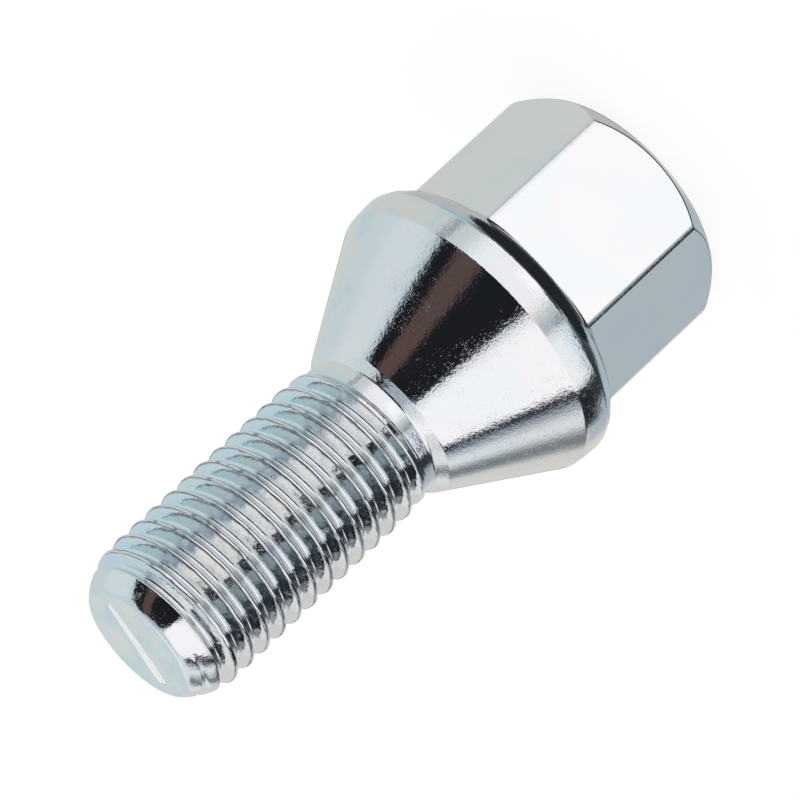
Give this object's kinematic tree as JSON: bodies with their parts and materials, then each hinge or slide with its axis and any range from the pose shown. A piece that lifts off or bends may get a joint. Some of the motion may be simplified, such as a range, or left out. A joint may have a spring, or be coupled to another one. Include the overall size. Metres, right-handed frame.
{
  "type": "lug bolt",
  "caption": "Wheel lug bolt: rolled thread with a rounded lead-in, plain neck, cone seat, rounded flange and a plain hexagon head with a chamfered end.",
  "frame": {"origin": "middle of the head's flat end face, on which the bolt stands", "axes": "+Z along the bolt's axis, from the head's end face to the threaded tip; two of the hexagon's flats face +Y and -Y, and two of its corners point along +X and -X"},
  "size_m": [0.022, 0.022, 0.0469],
  "materials": {
    "zinc_plated_steel": "bright zinc plating with a faint blue passivate, over forged and thread-rolled steel"
  },
  "bodies": {
    "root": {"lug_bolt": "zinc_plated_steel"}
  },
  "joints": []
}
